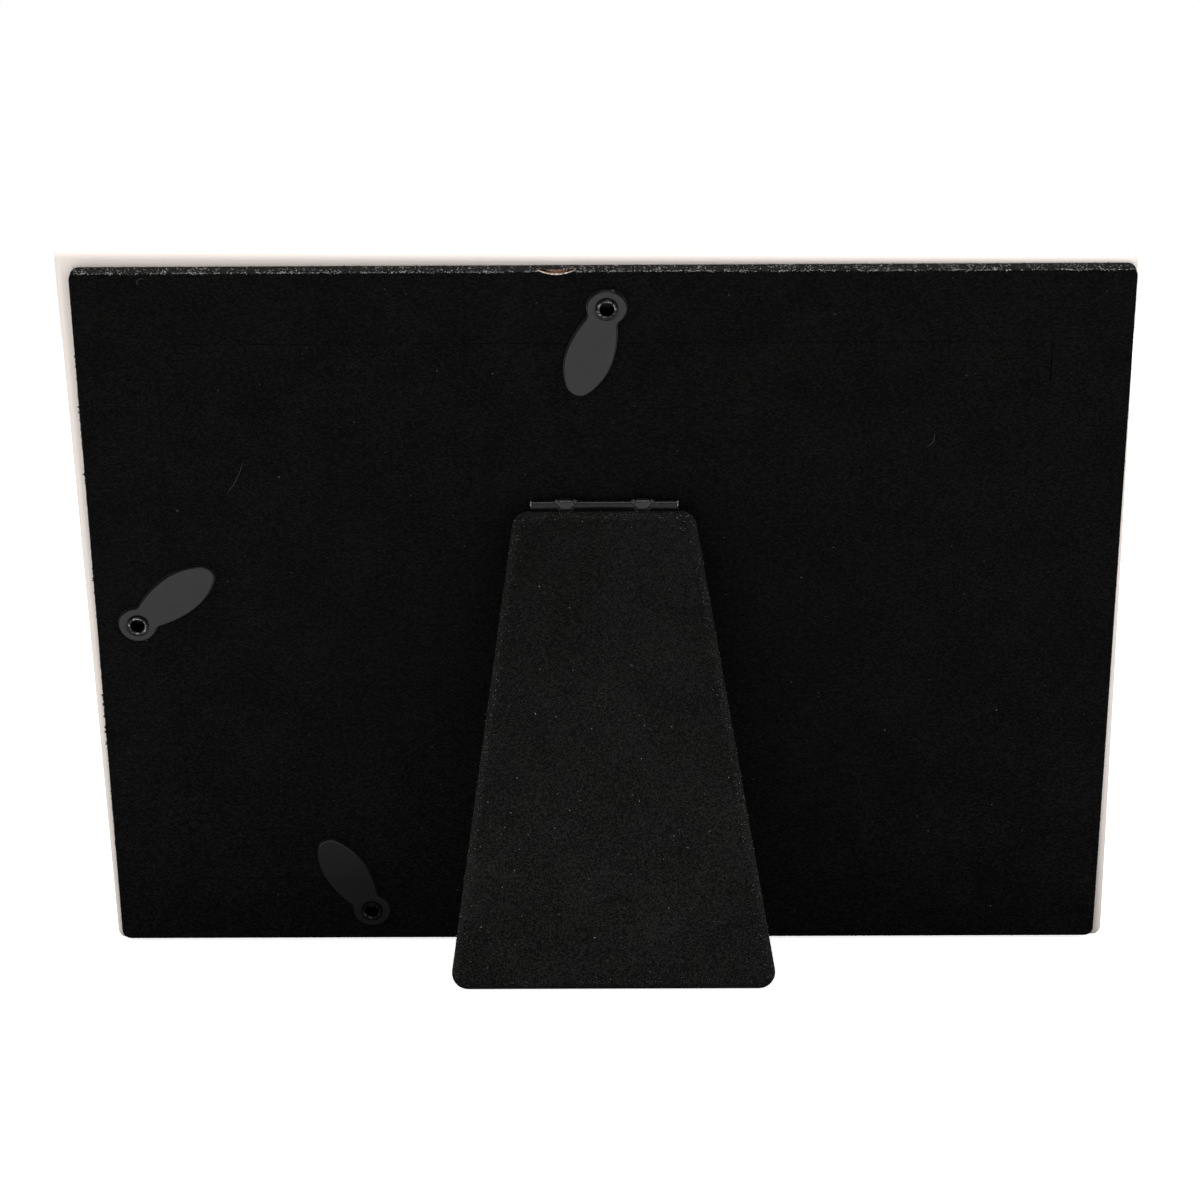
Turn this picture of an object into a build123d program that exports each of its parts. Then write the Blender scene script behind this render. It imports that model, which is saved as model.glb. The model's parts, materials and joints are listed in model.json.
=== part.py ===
from build123d import *
import os
from math import acos, atan2, cos, degrees, hypot, radians, sin, sqrt

# Easel back photo frame for a 178 x 127 mm print, leaning back on its leg. Millimetres, +Z up.
# The picture faces -Y and the leg stands on the +Y side. The origin is on the table, in the
# middle of the space that the frame takes up.
# Panel coordinates serve every piece of the sloping panel: x to the right as seen from behind,
# y up the slope from the moulding's bottom edge, z out of the back from the moulding's back face.
# Leg coordinates start at the hinge pin: x as above, y up the leg, z out of the leg's outer face.

# How it stands
lean = 23.0
leg_opening = lean

# What lies in the pocket, front to back
print_width = 178.0
print_height = 127.0
print_thickness = 0.25
glass_thickness = 1.8
filler_thickness = 1.0
pocket_slack = 0.55
print_play = 1.5
glass_play = 0.5
filler_play = 0.8

# White moulding, whose edges run a little out of square with the back board
moulding_depth = 5.5
moulding_bottom = 1.9
moulding_left_low = 1.4
moulding_left_high = 3.1
moulding_right_low = 2.2
moulding_right_high = 0.3
moulding_top_left = 3.4
moulding_top_right = 1.1
moulding_corner = 1.8
moulding_front_round = 1.6
moulding_back_round = 1.5
lip_reach = 5.0
lip_bevel = 1.0

# Back board: a rim glued to the moulding and a door, under one sheet of velvet
board_width = 218.0
board_height = 167.0
board_corner = 2.0
board_core = 2.0
velvet = 0.5
velvet_round = 0.4
door_margin = 16.6
door_gap = 0.4
velvet_slit = 0.2
corner_cut = 9.0

# Chip in the top edge
chip_middle = -9.4
chip_width = 8.2
chip_depth = 1.1
chip_core_depth = 0.55
chip_core_bite = 0.3
chip_down_side = 0.6

# Turn buttons and the eyelets that they turn on
button_thickness = 1.0
button_head_radius = 4.1
button_leaf_width = 9.7
button_leaf_widest = 12.0
button_leaf_reach = 21.2
button_back_radius = 24.0
button_tip_radius = 2.9
button_neck_round = 1.5
button_edge_round = 0.45
button_flash = 0.12
button_flash_thickness = 0.2
button_seat_radius = 2.7
button_seat = 0.2
button_play = 0.05
top_button_x = 0.8
side_button_inset = 8.9
side_button_height = 83.3
bottom_button_x = -52.6
top_button_angle = 252.2
side_button_angle = 39.3
bottom_button_angle = 117.7
eyelet_bore_radius = 1.5
eyelet_wall = 0.3
eyelet_play = 0.05
eyelet_rim_radius = 2.35
eyelet_rim = 0.6
eyelet_rim_round = 0.35
eyelet_clinch_radius = 2.4
eyelet_clinch = 0.4
eyelet_recess = 0.1

# Hinge: the leg's leaf rolls round the pin, the door's two tabs hook round it in windows
hinge_width = 30.6
hinge_below_top = 54.05
hinge_leaf_length = 14.0
hinge_leaf_corner = 2.0
pin_radius = 0.45
pin_play = 0.05
pin_head_radius = 1.0
pin_head = 0.2
door_sheet = 0.85
leg_sheet = 0.25
roll_angle = 295.0
tab_width = 2.8
tab_spacing = 16.1
tab_play = 0.15
tab_corner = 0.8
plate_top = 1.6
window_drop = 0.75
stop_play = 0.05
tail_clearance = 0.3
bump_radius = 0.6
bump_from_pin = 0.8
bump_from_window = 0.35
bump_angle = 42.0

# Rivets
rivet_radius = 1.2
rivet_play = 0.05
rivet_head_radius = 2.1
rivet_head = 0.5
rivet_head_round = 0.3
rivet_clinch = 0.4
rivet_seat_play = 0.1
door_rivet_spacing = 20.0
door_rivet_drop = 8.0
leg_rivet_spacing = 10.0
leg_rivet_drop = 10.5

# Leg
leg_gap = 1.35
leg_top_width = 37.8
leg_foot_width = 70.1
leg_foot_shift = 1.6
leg_corner = 3.5
leg_round = 1.3
leg_core = 2.0
leg_lining = 0.2

# One overrun serves all cuts
overrun = 5.0

# Worked out from the sizes above
board_top = moulding_bottom + board_height
board_middle = moulding_bottom + board_height / 2
board_thickness = board_core + velvet
door_width = board_width - 2 * door_margin
door_height = board_height - 2 * door_margin
pocket_width = print_width + 2 * print_play
pocket_height = print_height + 2 * print_play
pocket_depth = glass_thickness + print_thickness + filler_thickness + pocket_slack
sight_width = pocket_width - 2 * lip_reach
sight_height = pocket_height - 2 * lip_reach
eyelet_radius = eyelet_bore_radius + eyelet_wall
ring_radius = pin_radius + pin_play
hinge_up = board_top - hinge_below_top
hinge_out = board_thickness + door_sheet + ring_radius
leg_inside = ring_radius + leg_sheet
leg_outside = leg_inside + leg_lining + leg_core + velvet

# The rounded bottom edge of the moulding stands on the table, and the top edge of the velvet
# and the front of the bottom edge are the furthest points back and forward
slope_sin = sin(radians(lean))
slope_cos = cos(radians(lean))
table_drop = moulding_back_round * (slope_cos + slope_sin - 1)
velvet_top_back = (
    (board_top - velvet_round) * slope_sin
    + (board_thickness - velvet_round) * slope_cos
    + velvet_round
)
moulding_foot_front = (
    moulding_front_round * slope_sin
    - (moulding_depth - moulding_front_round) * slope_cos
    - moulding_front_round
)
panel_back_shift = -(velvet_top_back + moulding_foot_front) / 2

# Corners of the moulding, clockwise from the bottom left as seen from behind
moulding_corners = [
    (-board_width / 2 - moulding_left_low, 0),
    (-board_width / 2 - moulding_left_high, board_top + moulding_top_left),
    (board_width / 2 + moulding_right_high, board_top + moulding_top_right),
    (board_width / 2 + moulding_right_low, 0),
]
with BuildSketch() as moulding_outline:
    with BuildLine():
        Polyline(*moulding_corners, close=True)
    make_face()
    fillet(moulding_outline.vertices(), moulding_corner)
outline_box = moulding_outline.sketch.bounding_box()
panel_side_shift = (outline_box.min.X + outline_box.max.X) / 2

# Planes of the panel and of the leg, and the cross-sections through the hinge pin
panel = Plane(
    origin=(panel_side_shift, panel_back_shift, -table_drop),
    x_dir=(-1, 0, 0),
    z_dir=(0, slope_cos, -slope_sin),
)
pin_middle = panel.from_local_coords(Vector(0, hinge_up, hinge_out))
leg_tilt = radians(lean - leg_opening)
leg_plane = Plane(
    origin=pin_middle,
    x_dir=(-1, 0, 0),
    z_dir=(0, cos(leg_tilt), -sin(leg_tilt)),
)
leg_length = pin_middle.Z / cos(leg_tilt)
door_section = Plane(origin=pin_middle, x_dir=panel.z_dir, z_dir=(1, 0, 0))
leg_section = Plane(origin=pin_middle, x_dir=leg_plane.z_dir, z_dir=(1, 0, 0))
out_of_panel = Axis(panel.origin, panel.z_dir)
out_of_leg = Axis(leg_plane.origin, leg_plane.z_dir)

# Places and angles of the turn buttons on the rim's middle line
rim_middle = door_margin / 2
turn_buttons = {
    "top": (top_button_x, board_top - rim_middle, top_button_angle),
    "side": (side_button_inset - board_width / 2, moulding_bottom + side_button_height, side_button_angle),
    "bottom": (bottom_button_x, moulding_bottom + rim_middle, bottom_button_angle),
}
button_pivots = [(x, y) for x, y, angle in turn_buttons.values()]
door_rivets = [
    (side * door_rivet_spacing / 2, hinge_up - door_rivet_drop) for side in (-1, 1)
]
leg_rivets = [(side * leg_rivet_spacing / 2, -leg_rivet_drop) for side in (-1, 1)]
tab_places = [side * tab_spacing / 2 for side in (-1, 1)]

os.makedirs("parts", exist_ok=True)


def save(piece, name):
    piece.label = name
    export_step(piece, f"parts/{name}.step")


# Front moulding
with BuildPart() as front_frame:
    with BuildSketch(panel.offset(-moulding_depth)):
        with BuildLine():
            Polyline(*moulding_corners, close=True)
        make_face()
        fillet(vertices(), moulding_corner)
    extrude(amount=moulding_depth)
    back_face = front_frame.faces().sort_by(out_of_panel)[-1]
    front_face = front_frame.faces().sort_by(out_of_panel)[0]
    fillet(back_face.edges(), moulding_back_round)
    fillet(front_frame.faces().sort_by(out_of_panel)[0].edges(), moulding_front_round)
    with BuildSketch(panel):
        with Locations((0, board_middle)):
            Rectangle(pocket_width, pocket_height)
    extrude(amount=-pocket_depth, mode=Mode.SUBTRACT)
    with BuildSketch(panel):
        with Locations((0, board_middle)):
            Rectangle(sight_width, sight_height)
    extrude(amount=-moulding_depth - overrun, mode=Mode.SUBTRACT)
    lip_edges = front_frame.faces().sort_by(out_of_panel)[0].inner_wires().edges()
    chamfer(lip_edges, lip_bevel)
save(front_frame.part, "front_frame")


def pocket_sheet(behind, thickness, width, height):
    """A rectangular sheet in the pocket, its front face so far behind the glass's seat."""
    with BuildPart() as sheet:
        with BuildSketch(panel.offset(behind - pocket_depth)):
            with Locations((0, board_middle)):
                Rectangle(width, height)
        extrude(amount=thickness)
    return sheet.part


# Glass, print and filler card in the pocket
glass_width = pocket_width - 2 * glass_play
glass_height = pocket_height - 2 * glass_play
filler_width = pocket_width - 2 * filler_play
filler_height = pocket_height - 2 * filler_play
filler_behind = glass_thickness + print_thickness
save(pocket_sheet(0, glass_thickness, glass_width, glass_height), "glass_pane")
save(pocket_sheet(glass_thickness, print_thickness, print_width, print_height), "photo_card")
save(pocket_sheet(filler_behind, filler_thickness, filler_width, filler_height), "filler_card")


# Rim board, with recesses in its inner face for the clinched ends of the eyelets
chip_radius = (chip_width**2 / 4 + chip_depth**2) / (2 * chip_depth)
chip_core_radius = chip_radius - chip_depth + chip_core_depth + velvet
with BuildPart() as rim_board:
    with BuildSketch(panel):
        with Locations((0, board_middle)):
            RectangleRounded(
                board_width - 2 * velvet, board_height - 2 * velvet, board_corner - velvet
            )
            Rectangle(door_width + door_gap, door_height + door_gap, mode=Mode.SUBTRACT)
        with Locations(*button_pivots):
            Circle(eyelet_radius + eyelet_play, mode=Mode.SUBTRACT)
    extrude(amount=board_core)
    with BuildSketch(panel):
        with Locations(*button_pivots):
            Circle(eyelet_clinch_radius + eyelet_recess)
    extrude(amount=eyelet_clinch + 2 * eyelet_recess, mode=Mode.SUBTRACT)
    with BuildSketch(panel.offset(board_core - chip_core_bite)):
        with Locations((chip_middle, board_top + chip_radius - chip_depth)):
            Circle(chip_core_radius)
    extrude(amount=chip_core_bite + overrun, mode=Mode.SUBTRACT)
save(rim_board.part, "rim_board")

# Door board
with BuildPart() as door_board:
    with BuildSketch(panel):
        with Locations((0, board_middle)):
            Rectangle(door_width - door_gap, door_height - door_gap)
        with Locations(*door_rivets):
            Circle(rivet_radius + rivet_play, mode=Mode.SUBTRACT)
    extrude(amount=board_core)
save(door_board.part, "door_board")

# Velvet of the back: one sheet turned down over the rim's edges and slit round the door on
# three sides and a little way down the fourth, where it stays whole as the door's hinge
door_top = board_middle + door_height / 2
door_foot = board_middle - door_height / 2
with BuildPart() as back_velvet:
    with BuildSketch(panel):
        with Locations((0, board_middle)):
            RectangleRounded(board_width, board_height, board_corner)
    extrude(amount=board_thickness)
    fillet(back_velvet.faces().sort_by(out_of_panel)[-1].edges(), velvet_round)
    with BuildSketch(panel):
        with Locations((0, board_middle)):
            RectangleRounded(
                board_width - 2 * velvet, board_height - 2 * velvet, board_corner - velvet
            )
    extrude(amount=board_core, mode=Mode.SUBTRACT)
    with BuildSketch(panel):
        with Locations((-door_width / 2, board_middle)):
            Rectangle(velvet_slit, door_height + velvet_slit)
        with Locations((0, door_top), (0, door_foot)):
            Rectangle(door_width + velvet_slit, velvet_slit)
        with Locations((door_width / 2, door_top)):
            Rectangle(velvet_slit, corner_cut, align=(Align.CENTER, Align.MAX))
        with Locations(*button_pivots):
            Circle(eyelet_radius + eyelet_play)
        with Locations(*door_rivets):
            Circle(rivet_radius + rivet_play)
    extrude(amount=board_thickness + overrun, mode=Mode.SUBTRACT)
    with BuildSketch(panel.offset(board_thickness - chip_down_side)):
        with Locations((chip_middle, board_top + chip_radius - chip_depth)):
            Circle(chip_radius)
    extrude(amount=chip_down_side + overrun, mode=Mode.SUBTRACT)
save(back_velvet.part, "back_velvet")


# Turn buttons and eyelets. The leaf's sides and its tip are arcs that meet smoothly
leaf_half = button_leaf_width / 2
tip_centre = button_leaf_reach - button_tip_radius
tip_past_widest = tip_centre - button_leaf_widest
side_radius = (tip_past_widest**2 + leaf_half**2 - button_tip_radius**2) / (
    2 * (leaf_half - button_tip_radius)
)
side_turn = atan2(side_radius - leaf_half, tip_past_widest)
button_foot = board_thickness + button_play
eyelet_seat = button_foot + button_thickness - button_seat + button_play


def button_outline(growth):
    """A leaf with a round head for the sketch that calls it, all its edges moved out by the growth."""
    widest = (button_leaf_widest, leaf_half + growth)
    widest_below = (button_leaf_widest, -leaf_half - growth)
    back = button_back_radius + growth
    root = sqrt(back**2 - button_leaf_widest**2) - button_back_radius + leaf_half
    side = side_radius + growth
    tip = button_tip_radius + growth
    tip_start = (tip_centre + tip * cos(side_turn), tip * sin(side_turn))
    tip_end = (tip_centre + tip * cos(side_turn), -tip * sin(side_turn))
    with BuildSketch(mode=Mode.PRIVATE) as outline:
        with BuildLine():
            RadiusArc((0, root), widest, back)
            RadiusArc(widest, tip_start, side)
            RadiusArc(tip_start, tip_end, tip)
            RadiusArc(tip_end, widest_below, side)
            RadiusArc(widest_below, (0, -root), back)
            Line((0, -root), (0, root))
        make_face()
        Circle(button_head_radius + growth)
        necks = outline.vertices().filter_by_position(Axis.X, 0, button_head_radius)
        fillet(necks, button_neck_round - growth)
    return outline.sketch


def turn_button(x, y, angle):
    """A moulded leaf lying on the velvet along its angle, with a line of flash round its foot."""
    place = Plane(panel.location * Location((x, y, button_foot), (0, 0, angle)))
    with BuildPart() as button:
        with BuildSketch(place):
            add(button_outline(0))
        extrude(amount=button_thickness)
        fillet(button.faces().sort_by(out_of_panel)[-1].edges(), button_edge_round)
        with BuildSketch(place):
            add(button_outline(button_flash))
        extrude(amount=button_flash_thickness)
        with BuildSketch(place.offset(button_thickness)):
            Circle(button_seat_radius)
        extrude(amount=-button_seat, mode=Mode.SUBTRACT)
        with BuildSketch(place):
            Circle(eyelet_radius + eyelet_play)
        extrude(amount=button_thickness, mode=Mode.SUBTRACT)
    return button.part


def eyelet(x, y):
    """A tube through button and rim, with a rolled rim outside and a clinched end inside."""
    inner_end = panel.offset(eyelet_recess)
    with BuildPart() as tube:
        with BuildSketch(inner_end):
            with Locations((x, y)):
                Circle(eyelet_clinch_radius)
        extrude(amount=eyelet_clinch)
        with BuildSketch(inner_end):
            with Locations((x, y)):
                Circle(eyelet_radius)
        extrude(amount=eyelet_seat - eyelet_recess)
        with BuildSketch(panel.offset(eyelet_seat)):
            with Locations((x, y)):
                Circle(eyelet_rim_radius)
        extrude(amount=eyelet_rim)
        with BuildSketch(inner_end):
            with Locations((x, y)):
                Circle(eyelet_bore_radius)
        extrude(amount=eyelet_seat + eyelet_rim + overrun, mode=Mode.SUBTRACT)
        fillet(tube.faces().sort_by(out_of_panel)[-1].edges(), eyelet_rim_round)
    return tube.part


for side, (x, y, angle) in turn_buttons.items():
    save(turn_button(x, y, angle), f"turn_button_{side}")
    save(eyelet(x, y), f"eyelet_{side}")


def leg_face(inset):
    """The leg's outline drawn into the sketch that calls it, all edges moved in by the inset."""
    with BuildSketch(mode=Mode.PRIVATE) as outline:
        with BuildLine():
            Polyline(
                (-leg_top_width / 2, -leg_gap),
                (leg_top_width / 2, -leg_gap),
                (leg_foot_shift + leg_foot_width / 2, -leg_length),
                (leg_foot_shift - leg_foot_width / 2, -leg_length),
                close=True,
            )
        make_face()
        fillet(outline.vertices(), leg_corner)
        if inset:
            offset(amount=-inset)
    return outline.sketch


# Lining and core together, the shape that the leg's velvet is drawn over
with BuildPart() as leg_blank:
    with BuildSketch(leg_plane.offset(leg_inside)):
        add(leg_face(velvet))
    extrude(amount=leg_lining + leg_core)
    fillet(leg_blank.faces().sort_by(out_of_leg)[-1].edges(), leg_round - velvet)

# Leg board, with seats in its outer face for the rivets' flat ends
leg_board_back = leg_inside + leg_lining
with BuildPart() as leg_board:
    add(leg_blank.part)
    with BuildSketch(leg_plane.offset(leg_inside)):
        add(leg_face(0))
    extrude(amount=leg_lining, mode=Mode.SUBTRACT)
    with BuildSketch(leg_plane.offset(leg_inside)):
        with Locations(*leg_rivets):
            Circle(rivet_radius + rivet_play)
    extrude(amount=leg_lining + leg_core, mode=Mode.SUBTRACT)
    with BuildSketch(leg_plane.offset(leg_board_back + leg_core)):
        with Locations(*leg_rivets):
            Circle(rivet_head_radius + rivet_seat_play)
    extrude(amount=-rivet_clinch - rivet_play, mode=Mode.SUBTRACT)
save(leg_board.part, "leg_board")

# Lining on the leg's inner face
with BuildPart() as leg_lining_sheet:
    with BuildSketch(leg_plane.offset(leg_inside)):
        add(leg_face(velvet))
        with Locations(*leg_rivets):
            Circle(rivet_radius + rivet_play, mode=Mode.SUBTRACT)
    extrude(amount=leg_lining)
save(leg_lining_sheet.part, "leg_lining")

# Velvet of the leg, turned down over all four edges, with the foot standing on it
with BuildPart() as leg_velvet:
    with BuildSketch(leg_plane.offset(leg_inside)):
        add(leg_face(0))
    extrude(amount=leg_outside - leg_inside)
    fillet(leg_velvet.faces().sort_by(out_of_leg)[-1].edges(), leg_round)
    add(leg_blank.part, mode=Mode.SUBTRACT)
save(leg_velvet.part, "leg_velvet")

# Door's hinge leaf: a plate below the pin, and two tabs that go up behind the pin, over it and
# on as a tail that stops the leg's leaf
stop_out = leg_inside + stop_play
tail_turn = degrees(acos(ring_radius / hypot(window_drop, stop_out)) - atan2(window_drop, stop_out))
tail_end = leg_gap - tail_clearance
tail_length = (tail_end + ring_radius * sin(radians(tail_turn))) / cos(radians(tail_turn))
tail_angle = leg_opening + tail_turn
door_ring = ring_radius + door_sheet
tail_along = Vector(sin(radians(tail_angle)), -cos(radians(tail_angle)))
tail_across = Vector(cos(radians(tail_angle)), sin(radians(tail_angle)))
tail_inner = [tail_across * ring_radius, tail_across * ring_radius + tail_along * tail_length]
tail_outer = [tail_across * door_ring + tail_along * tail_length, tail_across * door_ring]
down_the_tail = door_section.x_dir * tail_along.X + door_section.y_dir * tail_along.Y
out_of_tail = door_section.x_dir * tail_across.X + door_section.y_dir * tail_across.Y
with BuildPart() as hinge_door_leaf:
    with BuildSketch(panel.offset(board_thickness)) as plate:
        with Locations((0, hinge_up - plate_top)):
            Rectangle(hinge_width, hinge_leaf_length - plate_top, align=(Align.CENTER, Align.MAX))
        fillet(plate.vertices().group_by(Axis.Y)[0], hinge_leaf_corner)
        with Locations(*door_rivets):
            Circle(rivet_radius + rivet_play, mode=Mode.SUBTRACT)
    extrude(amount=door_sheet)
    with BuildSketch(*[door_section.offset(place) for place in tab_places]):
        with BuildLine():
            CenterArc((0, 0), door_ring, tail_angle, 180 - tail_angle)
            Polyline(
                (-door_ring, 0), (-door_ring, -plate_top), (-ring_radius, -plate_top), (-ring_radius, 0)
            )
            CenterArc((0, 0), ring_radius, tail_angle, 180 - tail_angle)
            Polyline(*tail_inner, *tail_outer)
        make_face()
    extrude(amount=tab_width / 2, both=True)
    tail_ends = hinge_door_leaf.faces().filter_by(Axis(pin_middle, down_the_tail))
    fillet(tail_ends.edges().filter_by(Axis(pin_middle, out_of_tail)), tab_corner)
save(hinge_door_leaf.part, "hinge_door_leaf")

# Leg's hinge leaf, rolled round the pin, with a window for each tab and a bump beside each window
window_width = tab_width + 2 * tab_play
roll_end = Vector(cos(radians(roll_angle)), sin(radians(roll_angle)))
bump_side = window_width / 2 + bump_from_window
bump_out = Location((0, 0, 0), (0, 0, bump_angle)) * Location((bump_from_pin, 0, 0), (0, 0, 180))
bump_places = [
    leg_section.offset(place + side * bump_side).location * bump_out
    for place in tab_places
    for side in (-1, 1)
]
with BuildPart() as hinge_leg_leaf:
    with BuildSketch(leg_section):
        with BuildLine():
            CenterArc((0, 0), leg_inside, 0, roll_angle)
            CenterArc((0, 0), ring_radius, 0, roll_angle)
            Line(roll_end * ring_radius, roll_end * leg_inside)
            Polyline(
                (ring_radius, 0),
                (ring_radius, -hinge_leaf_length),
                (leg_inside, -hinge_leaf_length),
                (leg_inside, 0),
            )
        make_face()
    extrude(amount=hinge_width / 2, both=True)
    foot_edges = hinge_leg_leaf.edges().filter_by(out_of_leg)
    fillet(foot_edges.group_by(Axis.Z)[0], hinge_leaf_corner)
    with Locations(*bump_places):
        Sphere(bump_radius)
    with BuildSketch(leg_section):
        Circle(ring_radius)
    extrude(amount=hinge_width / 2, both=True, mode=Mode.SUBTRACT)
    with BuildSketch(*[leg_section.offset(place) for place in tab_places]):
        with Locations((0, -window_drop)):
            Rectangle(overrun, overrun, align=(Align.CENTER, Align.MIN))
        with Locations((ring_radius, -leg_inside - tail_clearance)):
            Rectangle(overrun, overrun, align=(Align.MAX, Align.MIN))
    extrude(amount=window_width / 2, both=True, mode=Mode.SUBTRACT)
    with BuildSketch(leg_plane):
        with Locations(*leg_rivets):
            Circle(rivet_radius + rivet_play)
    extrude(amount=leg_inside + leg_lining, mode=Mode.SUBTRACT)
save(hinge_leg_leaf.part, "hinge_leg_leaf")

# Hinge pin with a flat head at each end
with BuildPart() as hinge_pin:
    with BuildSketch(leg_section):
        Circle(pin_radius)
    extrude(amount=hinge_width / 2 + pin_play, both=True)
    for side in (-1, 1):
        head_plane = leg_section.offset(side * (hinge_width / 2 + pin_play))
        with BuildSketch(head_plane):
            Circle(pin_head_radius)
        extrude(amount=side * pin_head)
save(hinge_pin.part, "hinge_pin")


def rivet(plane, x, y, head_seat, clinch_face, head_side):
    """A rivet whose domed head sits at one height and whose flat end reaches another."""
    with BuildPart() as shank:
        with BuildSketch(plane.offset(head_seat)):
            with Locations((x, y)):
                Circle(rivet_radius)
        extrude(amount=clinch_face - head_seat)
        with BuildSketch(plane.offset(head_seat)):
            with Locations((x, y)):
                Circle(rivet_head_radius)
        extrude(amount=head_side * rivet_head)
        with BuildSketch(plane.offset(clinch_face)):
            with Locations((x, y)):
                Circle(rivet_head_radius)
        extrude(amount=head_side * rivet_clinch)
        crown = shank.faces().sort_by(Axis(plane.origin, plane.z_dir * head_side))[-1]
        fillet(crown.edges(), rivet_head_round)
    return shank.part


for name, (x, y) in zip(("left", "right"), door_rivets):
    door_head_seat = board_thickness + door_sheet
    save(rivet(panel, x, y, door_head_seat, -rivet_clinch, 1), f"door_rivet_{name}")
for name, (x, y) in zip(("left", "right"), leg_rivets):
    leg_flat_end = leg_board_back + leg_core
    save(rivet(leg_plane, x, y, ring_radius, leg_flat_end, -1), f"leg_rivet_{name}")
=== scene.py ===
import json
import math

import bpy
import numpy as np
from bpy.props import FloatProperty, FloatVectorProperty, IntProperty, PointerProperty
from mathutils import Matrix, Vector


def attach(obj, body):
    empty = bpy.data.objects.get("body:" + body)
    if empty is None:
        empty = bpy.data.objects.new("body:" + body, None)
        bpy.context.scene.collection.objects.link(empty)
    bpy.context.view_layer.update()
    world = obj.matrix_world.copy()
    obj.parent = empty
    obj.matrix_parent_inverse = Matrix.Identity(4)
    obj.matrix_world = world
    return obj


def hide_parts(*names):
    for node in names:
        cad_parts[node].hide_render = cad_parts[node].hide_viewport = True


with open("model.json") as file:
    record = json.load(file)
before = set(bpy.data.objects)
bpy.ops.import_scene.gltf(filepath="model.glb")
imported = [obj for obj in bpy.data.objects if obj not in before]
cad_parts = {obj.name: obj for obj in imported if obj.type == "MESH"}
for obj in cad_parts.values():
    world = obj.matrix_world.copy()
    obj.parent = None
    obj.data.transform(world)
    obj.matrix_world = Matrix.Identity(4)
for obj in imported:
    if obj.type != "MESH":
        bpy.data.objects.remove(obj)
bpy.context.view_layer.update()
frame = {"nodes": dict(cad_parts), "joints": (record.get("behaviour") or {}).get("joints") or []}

bl_info = {
    "name": "Easel Back Photo Frame",
    "version": (1, 0, 0),
    "blender": (4, 5, 0),
    "location": "View3D > Sidebar > Photo Frame",
    "description": "Dresses an easel back photo frame: velvet, moulding, hinge and turn buttons",
    "category": "Object",
}

MM = 0.001
LEAN = math.radians(23.0)
JOINTS = {joint["name"]: joint for joint in frame["joints"]}

# The panel's own frame: x to the right as seen from behind, y up the slope, z out of the back
# from the moulding's back face. Lengths in it are in millimetres.
BOARD_WIDTH, BOARD_HEIGHT, BOARD_FOOT, BOARD_OUT = 218.0, 167.0, 1.9, 2.5
BOARD_TOP = BOARD_FOOT + BOARD_HEIGHT
BUTTON_FOOT, BUTTON_REACH, BUTTON_HEAD = 2.55, 22.0, 4.1
TOP_BUTTON_TURN = math.radians(252.2)
BOARD_CORNER, BOARD_ROUND, BOARD_GLUED = 2.0, 0.4, 2.0
BOARD_OUTLINE = tuple(
    (side * BOARD_WIDTH / 2, height)
    for side, height in ((1, BOARD_TOP), (-1, BOARD_TOP), (-1, BOARD_FOOT), (1, BOARD_FOOT))
)
DOOR_SIDE, DOOR_LOW, DOOR_HIGH = 92.5, 18.4, 152.4
PIVOTS = {
    "top": (0.8, BOARD_TOP - 8.3),
    "side": (8.9 - BOARD_WIDTH / 2, BOARD_FOOT + 83.3),
    "bottom": (-52.6, BOARD_FOOT + 8.3),
}
CHIP_MIDDLE, CHIP_WIDTH, CHIP_DEPTH = -9.4, 8.2, 1.1
CHIP_RADIUS = (CHIP_WIDTH**2 / 4 + CHIP_DEPTH**2) / (2 * CHIP_DEPTH)
CHIP_CENTRE = BOARD_TOP + CHIP_RADIUS - CHIP_DEPTH

# The leg's own frame: x and z as above, y up the leg from the hinge pin
LEG_FACE, LEG_BACK, LEG_ROUND, LEG_CORNER = 3.45, 0.75, 1.3, 3.5
LEG_TOP, LEG_FOOT = -1.35, -103.75
LEG_OUTLINE = ((18.9, LEG_TOP), (-18.9, LEG_TOP), (-33.45, LEG_FOOT), (36.65, LEG_FOOT))
# Half of the leg's width at the pin's height, and how much it grows and its middle shifts below
LEG_HALF, LEG_GROWTH, LEG_SHIFT = 18.7, 0.1577, 0.0156
HINGE_HALF, TAB_PLACE, TAB_CLEAR = 15.3, 8.05, 1.7
# How far from the pin and between which heights each leaf of the hinge gets a painted highlight: a
# lighter, duller patch standing in for the bright floor its tabs and bumps mirror
PAINTED_GLINTS = {"hinge_leg_leaf": (0.79, -0.2, 1.5), "hinge_door_leaf": (1.2, -1.5, 0.48)}

# How deep the loose fibres are rooted in the velvet
ROOTED = 0.02


def own_frame(joint, lean, pivot=(0.0, 0.0, 0.0)):
    """The matrix from millimetres in a piece's own frame, with the joint at the pivot, to metres."""
    right = Vector((-1, 0, 0))
    up = Vector((0, math.sin(lean), math.cos(lean)))
    out = Vector((0, math.cos(lean), -math.sin(lean)))
    axes = Matrix((right, up, out)).transposed().to_4x4()
    place = Matrix.Translation(Vector(JOINTS[joint]["pos_m"]))
    return place @ axes @ Matrix.Scale(MM, 4) @ Matrix.Translation(-Vector(pivot))


PANEL = own_frame("top_turn", LEAN, (*PIVOTS["top"], BUTTON_FOOT))
LEG = own_frame("leg_fold", 0.0)


# Helpers for materials

def new_material(name, **inputs):
    """A material whose shader has these inputs, with its node tree and its shader."""
    material = bpy.data.materials.new(name)
    material.use_nodes = True
    tree = material.node_tree
    shader = tree.nodes["Principled BSDF"]
    for key, value in inputs.items():
        feed(tree, shader.inputs[key.replace("_", " ")], value)
    return material, tree, shader


def feed(tree, socket, value):
    """Links a socket to another, or sets its value."""
    if isinstance(value, bpy.types.NodeSocket):
        tree.links.new(value, socket)
    elif hasattr(value, "__len__") and len(value) == 3 and len(socket.default_value) == 4:
        socket.default_value = (*value, 1.0)
    else:
        socket.default_value = value


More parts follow.
